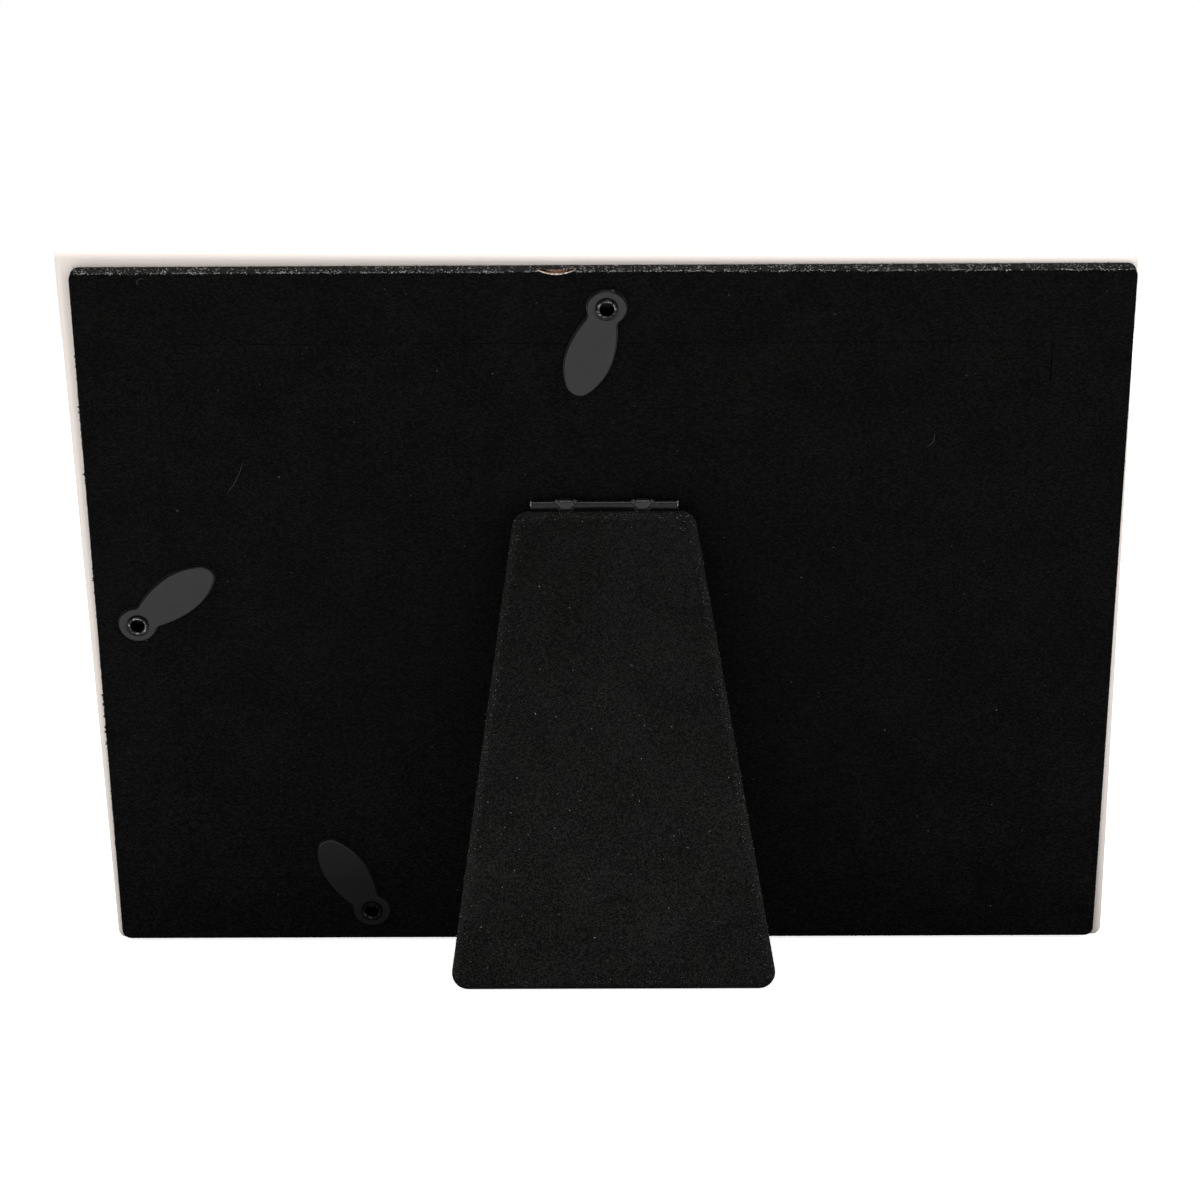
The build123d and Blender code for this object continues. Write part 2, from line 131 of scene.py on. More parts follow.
def add_node(tree, kind, settings=None, **inputs):
    made = tree.nodes.new(kind)
    for key, value in (settings or {}).items():
        setattr(made, key, value)
    for key, value in inputs.items():
        feed(tree, made.inputs[key.replace("_", " ")], value)
    return made


def maths(tree, operation, first, second=0.0):
    made = tree.nodes.new("ShaderNodeMath")
    made.operation = operation
    feed(tree, made.inputs[0], first)
    feed(tree, made.inputs[1], second)
    return made.outputs[0]


def product(tree, first, *others):
    for other in others:
        first = maths(tree, "MULTIPLY", first, other)
    return first


def past(tree, value, middle, half):
    """How far a value lies outside the band of this half width round the middle."""
    off = maths(tree, "ABSOLUTE", maths(tree, "SUBTRACT", value, middle))
    return maths(tree, "SUBTRACT", off, half)


def ramp(tree, value, low, high, low_out=0.0, high_out=1.0):
    """A smooth step from one value to another between two inputs."""
    made = tree.nodes.new("ShaderNodeMapRange")
    made.interpolation_type = "SMOOTHSTEP"
    numbers = (value, low, high, low_out, high_out)
    for socket, number in zip(made.inputs, numbers):
        feed(tree, socket, number)
    return made.outputs[0]


def mix_colours(tree, share, first, second):
    made = tree.nodes.new("ShaderNodeMix")
    made.data_type = "RGBA"
    feed(tree, made.inputs["Factor"], share)
    feed(tree, made.inputs[6], first)
    feed(tree, made.inputs[7], second)
    return made.outputs[2]


def own_place(tree, matrix=None, stretch=(1.0, 1.0, 1.0)):
    """Object coordinates in metres, in a piece's own frame where its matrix is given."""
    place = tree.nodes.new("ShaderNodeTexCoord").outputs["Object"]
    if matrix is not None:
        back = (matrix @ Matrix.Scale(1 / MM, 4)).inverted()
        place = add_node(
            tree, "ShaderNodeMapping", Vector=place,
            Location=back.to_translation(), Rotation=back.to_euler(),
        ).outputs[0]
    if stretch != (1.0, 1.0, 1.0):
        place = add_node(tree, "ShaderNodeMapping", Vector=place, Scale=stretch).outputs[0]
    return place


def own_axes(tree, matrix=None):
    """How far right, up and out a point lies, in metres in the same frame."""
    return add_node(tree, "ShaderNodeSeparateXYZ", Vector=own_place(tree, matrix)).outputs


def noise(tree, place, size, detail=2.0, roughness=0.5):
    """Noise whose blots are about as wide as the size, in metres."""
    made = add_node(
        tree, "ShaderNodeTexNoise", Vector=place, Scale=1.0 / size, Detail=detail, Roughness=roughness
    )
    return made.outputs["Fac"]


def bump(tree, shader, height, distance, strength=1.0):
    made = add_node(tree, "ShaderNodeBump", Height=height, Distance=distance, Strength=strength)
    tree.links.new(made.outputs[0], shader.inputs["Normal"])


def tint(tree, shader, share, first, second):
    """Gives the shader a mix of two colours."""
    feed(tree, shader.inputs["Base Color"], mix_colours(tree, share, first, second))


def scaled(factor, shade):
    return tuple(factor * part for part in shade)


def attribute(tree, name):
    return add_node(tree, "ShaderNodeAttribute", {"attribute_name": name}).outputs["Fac"]


def dress(nodes, material):
    for name in nodes:
        node = frame["nodes"][name]
        node.data.materials.clear()
        node.data.materials.append(material)


# Helpers for shapes

def start(add, **sizes):
    """Adds a primitive with nothing else selected, and returns it."""
    bpy.ops.object.select_all(action="DESELECT")
    add(**sizes)
    return bpy.context.object


def edit_all():
    bpy.ops.object.mode_set(mode="EDIT")
    bpy.ops.mesh.select_all(action="SELECT")


def settle(piece, name, matrix, material, body, slot=None):
    """Puts a piece modelled in millimetres in its place, and lets it ride on its body."""
    piece.data.transform(matrix @ piece.matrix_world)
    piece.matrix_world = Matrix.Identity(4)
    piece.name = name
    piece.data.name = name
    piece.data.materials.clear()
    piece.data.materials.append(material)
    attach(piece, body)


def fibre_model():
    """One fibre: a slim three-sided spike of unit length, with its root at the origin."""
    spike = start(
        bpy.ops.mesh.primitive_cone_add, vertices=3, radius1=0.5, radius2=0.0, depth=1.0,
        location=(0.0, 0.0, 0.5),
    )
    bpy.ops.object.transform_apply(location=True, rotation=False, scale=False)
    points = np.array([vertex.co[:] for vertex in spike.data.vertices])
    faces = [tuple(face.vertices) for face in spike.data.polygons]
    bpy.data.objects.remove(spike)
    return points, faces


def strew(name, seed, fibres, *home, keep=slice(None)):
    """Copies of the fibre on many roots, as one piece with a tone for each copy."""
    roots, ways, lengths, widths, tones = (part[keep] for part in fibres)
    points, faces = fibre_model()
    dice = np.random.default_rng(seed)
    ways = ways / np.linalg.norm(ways, axis=1, keepdims=True)
    across = np.cross(ways, dice.normal(size=ways.shape))
    across /= np.linalg.norm(across, axis=1, keepdims=True)
    beside = np.cross(ways, across)
    wide = widths[:, None, None]
    copies = (
        roots[:, None, :]
        + across[:, None, :] * points[None, :, 0:1] * wide
        + beside[:, None, :] * points[None, :, 1:2] * wide
        + ways[:, None, :] * points[None, :, 2:3] * lengths[:, None, None]
    )
    count, corners = len(roots), len(points)
    all_faces = [
        tuple(copy * corners + corner for corner in face)
        for copy in range(count) for face in faces
    ]
    mesh = bpy.data.meshes.new(name)
    mesh.from_pydata(copies.reshape(-1, 3).tolist(), [], all_faces)
    tone = mesh.attributes.new("tone", "FLOAT", "POINT")
    tone.data.foreach_set("value", np.repeat(tones, corners).astype(np.float32))
    strewn = bpy.data.objects.new(name, mesh)
    bpy.context.collection.objects.link(strewn)
    settle(strewn, name, *home)


def press_down(roots, ways, lengths, widths):
    """Lays the panel's fibres down where a turn button passes over them.

    A fibre is half as thick all round as it is wide, and a little more is left clear."""
    swept = np.any([
        np.linalg.norm(roots[:, :2] - pivot, axis=1) < BUTTON_REACH for pivot in PIVOTS.values()
    ], axis=0)
    highest = BUTTON_FOOT - 0.6 * widths
    roots[:, 2] = np.where(swept, np.minimum(roots[:, 2], highest), roots[:, 2])
    rise = np.linalg.norm(ways[:, :2], axis=1) * (highest - roots[:, 2]) / lengths
    ways[:, 2] = np.where(swept, np.minimum(ways[:, 2], rise), ways[:, 2])


def outline_spots(corners, corner_radius, count, dice):
    """Random spots on an outline with rounded corners, and the way out at each."""
    points, ways = [], []
    for index, corner in enumerate(corners):
        corner = Vector(corner)
        ahead = (Vector(corners[(index + 1) % len(corners)]) - corner).normalized()
        behind = (corner - Vector(corners[index - 1])).normalized()
        turn = behind.angle(ahead)
        out = Vector((behind.y, -behind.x))
        centre = corner - behind * corner_radius * math.tan(turn / 2) - out * corner_radius
        for share in np.linspace(0.0, 1.0, 9):
            heading = math.atan2(out.y, out.x) + share * turn
            way = Vector((math.cos(heading), math.sin(heading)))
            points.append(centre + way * corner_radius)
            ways.append(way)
    points = np.array([point[:] for point in (*points, points[0])])
    ways = np.array([way[:] for way in (*ways, ways[0])])
    steps = np.linalg.norm(np.diff(points, axis=0), axis=1)
    gone = np.concatenate([[0.0], np.cumsum(steps)])
    spots = dice.uniform(0.0, gone[-1], count)
    place = np.stack([np.interp(spots, gone, points[:, axis]) for axis in (0, 1)], axis=1)
    way = np.stack([np.interp(spots, gone, ways[:, axis]) for axis in (0, 1)], axis=1)
    return place, way


def over_edge(place, way, over, face, edge_round):
    """Roots and normals on a rounded edge, so far over from where it leaves the face."""
    turn = np.clip(over / edge_round, 0.0, math.pi / 2)
    inset = edge_round * (1 - np.sin(turn)) + np.clip(-over, 0.0, None)
    down = edge_round * (1 - np.cos(turn)) + np.clip(over - edge_round * math.pi / 2, 0.0, None)
    roots = np.column_stack([place - way * inset[:, None], face - down])
    normals = np.column_stack([way * np.sin(turn)[:, None], np.cos(turn)])
    return roots, normals


# Sizes and colours that a user would change

class VelvetSettings(bpy.types.PropertyGroup):
    pile: FloatVectorProperty(
        name="Pile", description="Colour of the black pile", subtype="COLOR", size=3,
        default=(0.0028, 0.0028, 0.00265),
    )
    leg_pile_worn_and_lit: FloatVectorProperty(
        # Painted light: the leg's pile is lighter than the back's, partly because the leg faces the
        # light more; it is also a little worn
        name="Leg pile", description="Colour of the leg's pile, which is a little rubbed",
        subtype="COLOR", size=3, default=(0.0039, 0.0039, 0.0036),
    )
    # Painted sheen: this lighter colour stands in for the velvet's sheen along its edges, as well as
    # for worn pile
    rubbed_and_sheen: FloatVectorProperty(
        name="Rubbed pile", description="Colour of the pile that is worn along the edges",
        subtype="COLOR", size=3, default=(0.16, 0.158, 0.15),
    )
    grain: FloatProperty(
        name="Grain", description="Size of the tufts of pile", default=0.00034, unit="LENGTH"
    )
    leg_grain: FloatProperty(
        name="Leg grain", description="Size of the tufts of the leg's rubbed pile",
        default=0.0003, unit="LENGTH",
    )
    edge_fibres: IntProperty(
        name="Edge fibres", description="Number of rubbed fibres along the top edge", default=15000
    )
    leg_fibres: IntProperty(
        name="Leg fibres", description="Number of rubbed fibres along the leg's edges", default=15000
    )
    slit_fibres: IntProperty(
        name="Slit fibres", description="Number of fibres over the slit round the door", default=9000
    )
    outline_fibres: IntProperty(
        name="Outline fibres", description="Number of fibres that roughen the outline", default=9000
    )


class LintSettings(bpy.types.PropertyGroup):
    colour: FloatVectorProperty(
        name="Lint", description="Colour of the dust in the pile", subtype="COLOR", size=3,
        default=(0.5, 0.5, 0.48),
    )
    specks: IntProperty(name="Specks", description="Number of specks on the back board", default=520)
    leg_specks: IntProperty(name="Leg specks", description="Number of specks on the leg", default=700)


class HardwareSettings(bpy.types.PropertyGroup):
    button: FloatVectorProperty(
        name="Turn button", description="Colour of the moulded turn buttons", subtype="COLOR", size=3,
        default=(0.0032, 0.003, 0.0024),
    )
    paint: FloatVectorProperty(
        name="Hinge paint", description="Colour of the satin paint on the hinge", subtype="COLOR",
        size=3, default=(0.006, 0.006, 0.006),
    )
    # Painted highlight: this lighter colour stands in for the light the hinge's tabs and bumps catch
    # from the bright floor
    painted_glint: FloatVectorProperty(
        name="Scuffed paint", description="Colour of the hinge paint where it is scuffed dull",
        subtype="COLOR", size=3, default=(0.03, 0.03, 0.03),
    )
    steel: FloatVectorProperty(
        name="Steel", description="Colour of the bare steel of pin and rivets", subtype="COLOR",
        size=3, default=(0.42, 0.42, 0.42),
    )
    eyelet: FloatVectorProperty(
        name="Eyelet", description="Colour of the eyelets where they are worn bright",
        subtype="COLOR", size=3, default=(0.62, 0.61, 0.6),
    )


class MouldingSettings(bpy.types.PropertyGroup):
    white: FloatVectorProperty(
        name="White", description="Colour of the moulding", subtype="COLOR", size=3,
        default=(0.975, 0.888, 0.828),
    )
    board: FloatVectorProperty(
        name="Fibreboard", description="Colour of the pressed board", subtype="COLOR", size=3,
        default=(0.2, 0.115, 0.07),
    )
    torn: FloatVectorProperty(
        name="Torn edge", description="Colour of the torn paper under the velvet", subtype="COLOR",
        size=3, default=(0.78, 0.66, 0.56),
    )


class StageSettings(bpy.types.PropertyGroup):
    camera_place: FloatVectorProperty(
        name="Camera place", description="Where the camera stands", subtype="TRANSLATION", size=3,
        default=(-0.00521, 0.862355, 0.204282),
    )
    camera_turn: FloatVectorProperty(
        name="Camera turn", description="How the camera is turned", subtype="EULER", size=3,
        default=(math.radians(81.8666), math.radians(0.2745), math.radians(-179.6504)),
    )
    lens: FloatProperty(
        name="Lens", description="Focal length of the lens", default=121.54, unit="CAMERA"
    )
    key_power: FloatProperty(
        name="Key light", description="Power of the soft light overhead", default=8.0, unit="POWER"
    )


# Operators: one for each group of pieces

class FRAME_OT_moulding(bpy.types.Operator):
    """Gives the white moulding its satin finish, left raw where the board lies on it"""
    bl_idname = "photo_frame.moulding"
    bl_label = "Moulding"

    def execute(self, context):
        settings = context.scene.frame_moulding
        material, tree, shader = new_material(
            "white_moulding", Roughness=0.42, Specular_IOR_Level=0.4
        )
        place = own_place(tree, PANEL)
        clouds = product(tree, noise(tree, place, 0.02, 3.0), 0.15)
        warm = mix_colours(tree, clouds, settings.white, (0.9, 0.77, 0.69))
        right, up, out = own_axes(tree, PANEL)
        covered = maths(tree, "GREATER_THAN", out, -0.0003)
        for reach, middle, size in (
            (right, 0.0, BOARD_WIDTH), (up, BOARD_FOOT + BOARD_HEIGHT / 2, BOARD_HEIGHT),
        ):
            outside = past(tree, reach, middle * MM, (size / 2 - BOARD_GLUED) * MM)
            covered = product(tree, covered, ramp(tree, outside, -0.0005, 0.0, 1.0, 0.0))
        tint(tree, shader, covered, warm, (0.05, 0.03, 0.02))
        bump(tree, shader, noise(tree, place, 0.0012, 2.0), 0.00002, 0.4)
        dress(["front_frame"], material)
        return {"FINISHED"}


class FRAME_OT_pocket(bpy.types.Operator):
    """Gives the glass, the print, the cards and the boards their finish"""
    bl_idname = "photo_frame.pocket"
    bl_label = "Glass, print and boards"

    def execute(self, context):
        settings = context.scene.frame_moulding
        glass, _, _ = new_material(
            "pane_glass", Base_Color=(0.95, 0.98, 0.97), Transmission_Weight=1.0, Roughness=0.02,
            IOR=1.5,
        )
        dress(["glass_pane"], glass)
        self.lay_paper(
            "photo_card", "plain_print", PANEL, (0.0006, 3.0), 0.55, (0.7, 0.7, 0.69),
            (0.76, 0.76, 0.75),
        )
        self.lay_paper(
            "filler_card", "filler_board", PANEL, (0.0009, 4.0), 0.9, (0.42, 0.36, 0.28),
            (0.52, 0.46, 0.37),
        )
        self.lay_paper(
            "leg_lining", "lining_paper", LEG, (0.0007, 4.0), 0.8, (0.006, 0.006, 0.006),
            (0.014, 0.014, 0.013),
        )

        # Painted shade: the boards are darkened at the slit round the door, where the narrow gap is in
        # shade
        board, tree, shader = new_material("pressed_board", Roughness=0.9)
        fibres = noise(tree, own_place(tree, PANEL), 0.0005, 5.0, 0.7)
        brown = mix_colours(tree, ramp(tree, fibres, 0.35, 0.7), settings.board, (0.42, 0.27, 0.18))
        right, up, _ = own_axes(tree, PANEL)
        aside = past(tree, right, 0.0, DOOR_SIDE * MM)
        middle, half = (DOOR_LOW + DOOR_HIGH) / 2 * MM, (DOOR_HIGH - DOOR_LOW) / 2 * MM
        outside = maths(tree, "MAXIMUM", aside, past(tree, up, middle, half))
        slit_shade = ramp(tree, maths(tree, "ABSOLUTE", outside), 0.001, 0.0014, 1.0, 0.0)
        tint(tree, shader, slit_shade, brown, (0.004, 0.004, 0.004))
        bump(tree, shader, fibres, 0.0001, 0.7)
        dress(["rim_board", "door_board", "leg_board"], board)
        return {"FINISHED"}

    def lay_paper(self, node, name, matrix, grain, roughness, dark, light):
        paper, tree, shader = new_material(name, Roughness=roughness)
        tint(tree, shader, noise(tree, own_place(tree, matrix), *grain), dark, light)
        dress([node], paper)


def top_rub_and_sheen(tree):
    """How far the back's velvet is lightened along its top edge: worn pile, and painted sheen where
    the pile turns over the edge.
    """
    up = own_axes(tree, PANEL)[1]
    return ramp(tree, up, (BOARD_TOP - 0.5) * MM, (BOARD_TOP - 0.05) * MM, 0.0, 0.36)


def leg_rub_and_sheen(tree):
    """How far the leg's velvet is lightened in a band along its top and its sides: worn pile, and
    painted sheen on its rounded edges.
    """
    right, up, _ = own_axes(tree, LEG)
    down = product(tree, up, -1.0)
    half = maths(tree, "ADD", product(tree, down, LEG_GROWTH), LEG_HALF * MM)
    aside = past(tree, right, product(tree, down, LEG_SHIFT), half)
    above = maths(tree, "SUBTRACT", -LEG_TOP * MM, down)
    return ramp(tree, maths(tree, "MAXIMUM", aside, above), -0.0022, -0.0003, 0.0, 0.16)


def velvet_material(name, matrix, pile, grain, stretch, lift, lower_lift, rub_and_sheen, rubbed_and_sheen):
    """Black pile: fine tufts, smoothed patches, grains lighter lower down, and mixed towards a lighter
    colour along the edges, which is worn pile and painted sheen.
    """
    material, tree, shader = new_material(
        name, Roughness=1.0, Specular_IOR_Level=0.03, Sheen_Weight=0.03, Sheen_Roughness=0.3,
        Sheen_Tint=(0.6, 0.6, 0.58),
    )
    place = own_place(tree, matrix)
    tufts = noise(tree, own_place(tree, matrix, stretch), grain, 2.0, 0.7)
    patches = product(tree, noise(tree, place, 0.012, 3.0), 0.16)
    # Grains grow lighter towards the bottom, by the given share
    low, high, most = lower_lift
    grains = product(
        tree, ramp(tree, maths(tree, "ADD", tufts, patches), 0.46, 0.8),
        ramp(tree, own_axes(tree, matrix)[1], low, high, most, 1.0),
    )
    cold = (0.98 * pile[0], 0.98 * pile[1], 1.04 * pile[2])
    hue = mix_colours(tree, ramp(tree, noise(tree, place, 0.007), 0.42, 0.58), pile, cold)
    depth = maths(tree, "ADD", product(tree, grains, lift - 1.0), 1.0)
    black = add_node(
        tree, "ShaderNodeVectorMath", {"operation": "SCALE"}, Vector=hue, Scale=depth
    ).outputs[0]
    bald = ramp(tree, noise(tree, place, 0.0003, 3.0, 0.7), 0.45, 0.68)
    # Painted sheen and wear: the edge band is mixed towards the lighter worn colour
    tint(tree, shader, product(tree, rub_and_sheen(tree), bald), black, rubbed_and_sheen)
    bump(tree, shader, tufts, 0.00025, 0.8)
    return material


def fibre_material(name, dark, light):
    """Loose fibres, each as light as its tone."""
    material, tree, shader = new_material(name, Roughness=0.9, Specular_IOR_Level=0.1)
    tint(tree, shader, attribute(tree, "tone"), dark, light)
    return material


class FRAME_OT_velvet(bpy.types.Operator):
    """Gives the back and the leg their velvet"""
    bl_idname = "photo_frame.velvet"
    bl_label = "Velvet"

    def execute(self, context):
        settings = context.scene.frame_velvet
        back = velvet_material(
            "back_pile", PANEL, settings.pile, settings.grain, stretch=(0.6, 1.0, 1.0), lift=3.2,
            lower_lift=(0.0, 0.09, 1.6), rub_and_sheen=top_rub_and_sheen, rubbed_and_sheen=settings.rubbed_and_sheen,
        )
        dress(["back_velvet"], back)
        leg = velvet_material(
            "leg_pile_worn_and_lit", LEG, settings.leg_pile_worn_and_lit, settings.leg_grain, stretch=(0.9, 1.0, 1.0), lift=4.2,
            # Painted light: the leg's grains are lighter towards the foot, where the bright floor
            # lights it
            lower_lift=(-0.105, -0.01, 1.5), rub_and_sheen=leg_rub_and_sheen, rubbed_and_sheen=settings.rubbed_and_sheen,
        )
        dress(["leg_velvet"], leg)
        return {"FINISHED"}


class FRAME_OT_pile(bpy.types.Operator):
    """Raises the worn fibres along the velvet's edges, the light ones partly painted sheen, and over
    the slit round the door
    """
    bl_idname = "photo_frame.pile"
    bl_label = "Rubbed pile"

    def execute(self, context):
        settings = context.scene.frame_velvet
        material = fibre_material("rubbed_fibre", settings.pile, settings.rubbed_and_sheen)
        # Painted sheen: this far lighter copy of the worn colour lights the edge fibres, standing in
        # for the pile's sheen on the edges as well as bare fuzz
        bare = fibre_material("bare_and_sheen_fibre", settings.pile, scaled(5.4, settings.rubbed_and_sheen))
        self.raise_top_edge(settings.edge_fibres, bare)
        self.raise_leg_edges(settings.leg_fibres, bare)
        self.lay_over_slit(settings.slit_fibres, material)
        self.roughen_outline(settings.outline_fibres, material)
        self.fray_side(material)
        self.fill_hinge_gap(material)
        return {"FINISHED"}

    def raise_top_edge(self, count, material):
        dice = np.random.default_rng(11)
        half = BOARD_WIDTH / 2 - 1.0
        along = dice.uniform(-half, half, count)
        place = np.column_stack([along, np.full(count, BOARD_TOP)])
        way = np.column_stack([np.zeros(count), np.ones(count)])
        corner = dice.uniform(0, 1, count) < 0.4
        over = np.where(corner, dice.normal(0.16, 0.08, count), dice.uniform(0.3, 2.6, count))
        waves = 0.6 + 0.4 * np.sin(along / 4.7) * np.sin(along / 1.9 + 1) + 0.25 * np.sin(along * 2.3)
        # Painted sheen and fuzz: a share of the top edge's fibres is light, more on its rounded
        # corner, in waves along it
        bright = dice.uniform(0, 1, count) < np.where(corner, 0.46, 0.22) * waves
        tones = np.where(bright, dice.uniform(0.25, 1.0, count), 0.05 * dice.uniform(0, 1, count))
        chipped = (np.abs(along - CHIP_MIDDLE) < CHIP_WIDTH / 2 - 0.3) & (over < 0.75)
        roots, normals = over_edge(place, way, over, BOARD_OUT - ROOTED, BOARD_ROUND)
        roots[:, 1] -= ROOTED
        ways = normals * 0.3 + dice.normal(0, 0.4, roots.shape) * (3.0, 1.0, 1.0)
        lengths = dice.uniform(0.2, 0.6, count)
        widths = dice.uniform(0.07, 0.14, count)
        keep = ~chipped & (np.sum(ways * normals, axis=1) > 0)
        press_down(roots, ways, lengths, widths)
        fibres = (roots, ways, lengths, widths, tones)
        strew("top_edge_pile", 12, fibres, PANEL, material, "frame", "velvet", keep=keep)

    def raise_leg_edges(self, count, material):
        dice = np.random.default_rng(21)
        place, way = outline_spots(LEG_OUTLINE, LEG_CORNER, count, dice)
        over = dice.normal(0.5, 0.9, count)
        roots, normals = over_edge(place, way, over, LEG_FACE - ROOTED, LEG_ROUND)
        ways = normals * 0.5 + dice.normal(0, 0.8, roots.shape)
        keep = (roots[:, 2] > LEG_BACK + 0.3) & (np.sum(ways * normals, axis=1) > 0)
        keep &= roots[:, 1] > LEG_FOOT + 0.45
        lengths = dice.uniform(0.14, 0.38, count)
        widths = dice.uniform(0.06, 0.11, count)
        foot = roots[:, 1] < LEG_FOOT + 1.5
        # Painted highlight and fuzz: a share of the fibres on the leg's rounded edges is light
        bright = dice.uniform(0, 1, count) < np.where(foot, 0.01, 0.08)
        tones = np.where(bright, dice.uniform(0.1, 0.55, count), 0.03 * dice.uniform(0, 1, count) ** 2)
        fibres = (roots, ways, lengths, widths, tones)
        strew("leg_edge_pile", 22, fibres, LEG, material, "leg", "velvet", keep=keep)

    def lay_over_slit(self, count, material):
        dice = np.random.default_rng(31)
        high, wide = DOOR_HIGH - DOOR_LOW, 2 * DOOR_SIDE
        spot = dice.uniform(-high, high + 2 * wide, count)
        upright = spot < high
        across = (spot - high) % wide - DOOR_SIDE
        level = np.where(spot < high + wide, DOOR_LOW, DOOR_HIGH)
        off = dice.normal(0, 0.12, count)
        roots = np.column_stack([
            np.where(upright, -DOOR_SIDE + off, across),
            np.where(upright, DOOR_LOW + np.abs(spot), level + off),
            np.full(count, BOARD_OUT - 2 * ROOTED),
        ])
        toward = -np.sign(off) * 0.6
        ways = dice.normal(0, 0.35, roots.shape)
        ways[:, 0] += np.where(upright, toward, 0)
        ways[:, 1] += np.where(upright, 0, toward)
        ways[:, 2] = np.abs(ways[:, 2]) * 0.4 + 0.1
        lengths = dice.uniform(0.25, 0.5, count)
        widths = dice.uniform(0.06, 0.11, count)
        tones = 0.16 * dice.uniform(0, 1, count) ** 3
        fibres = (roots, ways, lengths, widths, tones)
        strew("slit_pile", 32, fibres, PANEL, material, "frame", "velvet")

    def roughen_outline(self, count, material):
        dice = np.random.default_rng(35)
        place, way = outline_spots(BOARD_OUTLINE, BOARD_CORNER, count, dice)
        over = dice.uniform(0.1, 1.3, count)
        roots, normals = over_edge(place, way, over, BOARD_OUT - ROOTED, BOARD_ROUND)
        ways = normals + dice.normal(0, 0.45, roots.shape)
        ways[:, 2] = np.minimum(ways[:, 2], 0.3)
        lengths = dice.uniform(0.06, 0.2, count)
        widths = dice.uniform(0.08, 0.16, count)
        press_down(roots, ways, lengths, widths)
        tones = 0.05 * dice.uniform(0, 1, count) ** 2
        below_top = roots[:, 1] < BOARD_TOP - 1.2
        fibres = (roots, ways, lengths, widths, tones)
        strew("outline_pile", 36, fibres, PANEL, material, "frame", "velvet", keep=below_top)

    def fill_hinge_gap(self, material):
        """The pile of the turned-over velvet stands up between the leg's top edge and the hinge"""
        dice = np.random.default_rng(45)
        count = 3000
        across = dice.uniform(-HINGE_HALF, HINGE_HALF, count)
        clear = np.abs(np.abs(across) - TAB_PLACE) > TAB_CLEAR
        roots = np.column_stack([
            across, np.full(count, LEG_TOP - 0.05), dice.uniform(0.85, 1.9, count),
        ])[clear]
        ways = dice.normal(0, 0.16, roots.shape) + np.array([0.0, 1.0, -0.15])
        lengths = dice.uniform(0.6, 0.88, len(roots)) + 0.12 * np.cos(roots[:, 0] / 5.0)
        widths = dice.uniform(0.09, 0.15, len(roots))
        tones = 0.02 * dice.uniform(0, 1, len(roots))
        fibres = (roots, ways, lengths, widths, tones)
        strew("hinge_gap_pile", 46, fibres, LEG, material, "leg", "velvet")

    def fray_side(self, material):
        """Tufts that stick out of the left edge, where the velvet has frayed"""
        dice = np.random.default_rng(41)
        long_tufts = (137.2, 135.9, 66.3, 64.1, 61.0, 58.2, 56.9, 54.0, 95.5, 121.3)
        tufts = (*long_tufts, *dice.uniform(20, 150, 60))
        heights = np.repeat(tufts, 7) + dice.normal(0, 0.16, 7 * len(tufts))
        count = len(heights)
        long = np.arange(count) < 7 * len(long_tufts)
        roots = np.column_stack([
            np.full(count, 0.05 - BOARD_WIDTH / 2), heights, dice.uniform(1.2, 2.0, count),
        ])
        ways = np.column_stack([
            np.full(count, -1.0), dice.normal(0, 0.35, count), dice.normal(0, 0.3, count),
        ])
        lengths = dice.uniform(0.25, 0.7, count) * np.where(long, 1.0, 0.55)
        fibres = (roots, ways, lengths, np.full(count, 0.32), np.zeros(count))
        strew("side_fray", 42, fibres, PANEL, material, "frame", "velvet")


